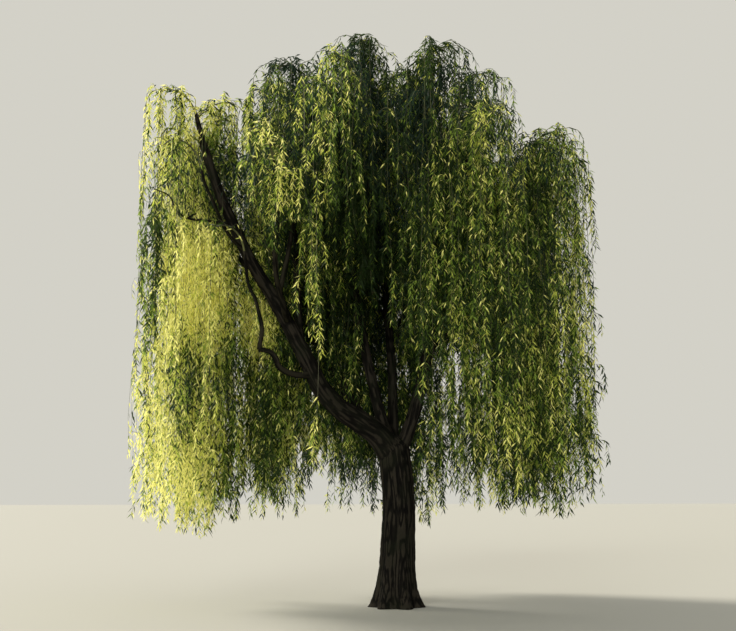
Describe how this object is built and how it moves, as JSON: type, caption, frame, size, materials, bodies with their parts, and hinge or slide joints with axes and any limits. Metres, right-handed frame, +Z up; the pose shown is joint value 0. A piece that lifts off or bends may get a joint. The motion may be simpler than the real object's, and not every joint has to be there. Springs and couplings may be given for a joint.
{
  "type": "weeping willow tree",
  "caption": "Whole weeping willow tree: a stout trunk, a great leaning bough with a crooked arm, and curtains of long hanging shoots with narrow yellow-green leaves.",
  "frame": {"origin": "middle of the flat cut under the trunk, at ground level", "axes": "+Z up along the trunk, +X to the right as the picture sees the tree, -Y towards the camera of the picture"},
  "size_m": [11.9031, 11.2152, 14.279],
  "materials": {
    "bark": "rough, deeply fissured dark brown bark",
    "young_bark": "smoother dark olive-brown bark of younger branches",
    "foliage": "thin matte yellow-green leaves that let light through"
  },
  "bodies": {
    "root": {"trunk": "bark", "back_bough": "bark", "back_left_branch": "young_bark", "back_right_branch": "young_bark", "crooked_arm": "young_bark", "crooked_arm_tip": "young_bark", "far_back_branch": "young_bark", "fine_left_branch": "young_bark", "front_bough": "bark", "front_branch": "young_bark", "front_inner_branch": "young_bark", "front_left_branch": "young_bark", "front_right_branch": "young_bark", "front_window_branch": "young_bark", "great_bough": "bark", "inner_left_branch": "bark", "low_left_branch": "young_bark", "middle_left_branch": "young_bark", "rear_left_bough": "bark", "rear_left_branch": "young_bark", "right_back_branch": "young_bark", "right_bough": "bark", "right_branch": "young_bark", "right_front_branch": "young_bark", "top_back_branch": "young_bark", "top_front_branch": "young_bark", "top_right_branch": "young_bark", "twig_stub": "young_bark", "twiggy_branch": "young_bark", "upright_bough": "bark", "foliage_back_bough": "foliage", "foliage_back_left_branch": "foliage", "foliage_back_right_branch": "foliage", "foliage_crooked_arm_tip": "foliage", "foliage_far_back_branch": "foliage", "foliage_fine_left_branch": "foliage", "foliage_front_bough": "foliage", "foliage_front_branch": "foliage", "foliage_front_inner_branch": "foliage", "foliage_front_left_branch": "foliage", "foliage_front_right_branch": "foliage", "foliage_front_window_branch": "foliage", "foliage_great_bough": "foliage", "foliage_inner_left_branch": "foliage", "foliage_low_left_branch": "foliage", "foliage_middle_left_branch": "foliage", "foliage_rear_left_bough": "foliage", "foliage_rear_left_branch": "foliage", "foliage_right_back_branch": "foliage", "foliage_right_bough": "foliage", "foliage_right_branch": "foliage", "foliage_right_front_branch": "foliage", "foliage_top_back_branch": "foliage", "foliage_top_front_branch": "foliage", "foliage_top_right_branch": "foliage", "foliage_upright_bough": "foliage"}
  },
  "joints": []
}
